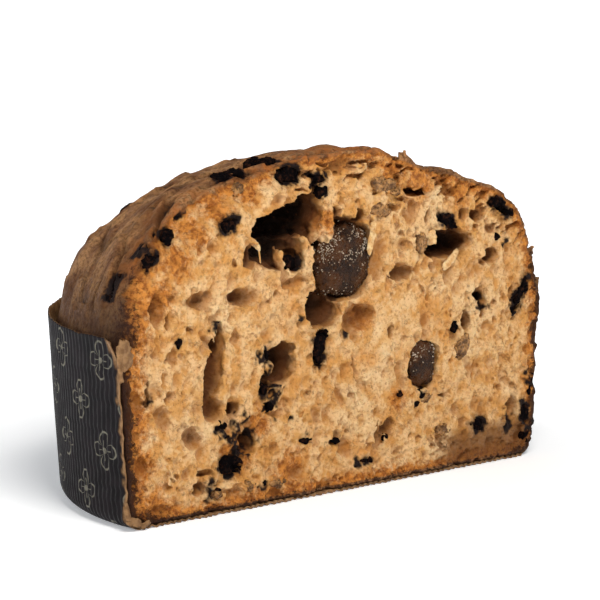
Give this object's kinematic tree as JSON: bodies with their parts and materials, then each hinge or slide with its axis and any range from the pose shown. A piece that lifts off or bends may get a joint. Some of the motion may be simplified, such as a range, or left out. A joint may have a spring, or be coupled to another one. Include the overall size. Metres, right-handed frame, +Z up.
{
  "type": "half panettone",
  "caption": "Half of a low domed sweet bread loaf, cut open to show airy crumb with candied chestnuts and chocolate, in its fluted dark paper baking case.",
  "frame": {"origin": "on the surface the loaf stands on, under the middle of its box", "axes": "+Z up, +X right along the cut, +Y from the cut face to the round back; the knife went along Y = -0.0525 m, where the round axis also lies"},
  "size_m": [0.21, 0.105, 0.1248],
  "materials": {
    "crumb": null,
    "paper": "dark printed baking paper, slightly satin outside, brown kraft inside",
    "chocolate": "dark chocolate, half matte, slightly waxy",
    "chestnut": "candied chestnut, brown, a little see-through, with sugar grains"
  },
  "bodies": {
    "root": {"loaf": "crumb", "paper_case": "paper", "chestnut_large": "chestnut", "chestnut_small": "chestnut", "chestnut_piece_1": "chestnut", "chestnut_piece_2": "chestnut", "chestnut_piece_3": "chestnut", "chocolate_01": "chocolate", "chocolate_02": "chocolate", "chocolate_03": "chocolate", "chocolate_04": "chocolate", "chocolate_05": "chocolate", "chocolate_06": "chocolate", "chocolate_07": "chocolate", "chocolate_08": "chocolate", "chocolate_09": "chocolate", "chocolate_10": "chocolate", "chocolate_11": "chocolate", "chocolate_12": "chocolate", "chocolate_13": "chocolate", "chocolate_14": "chocolate", "chocolate_15": "chocolate", "chocolate_16": "chocolate", "chocolate_17": "chocolate", "chocolate_18": "chocolate", "chocolate_19": "chocolate", "chocolate_20": "chocolate"}
  },
  "joints": []
}
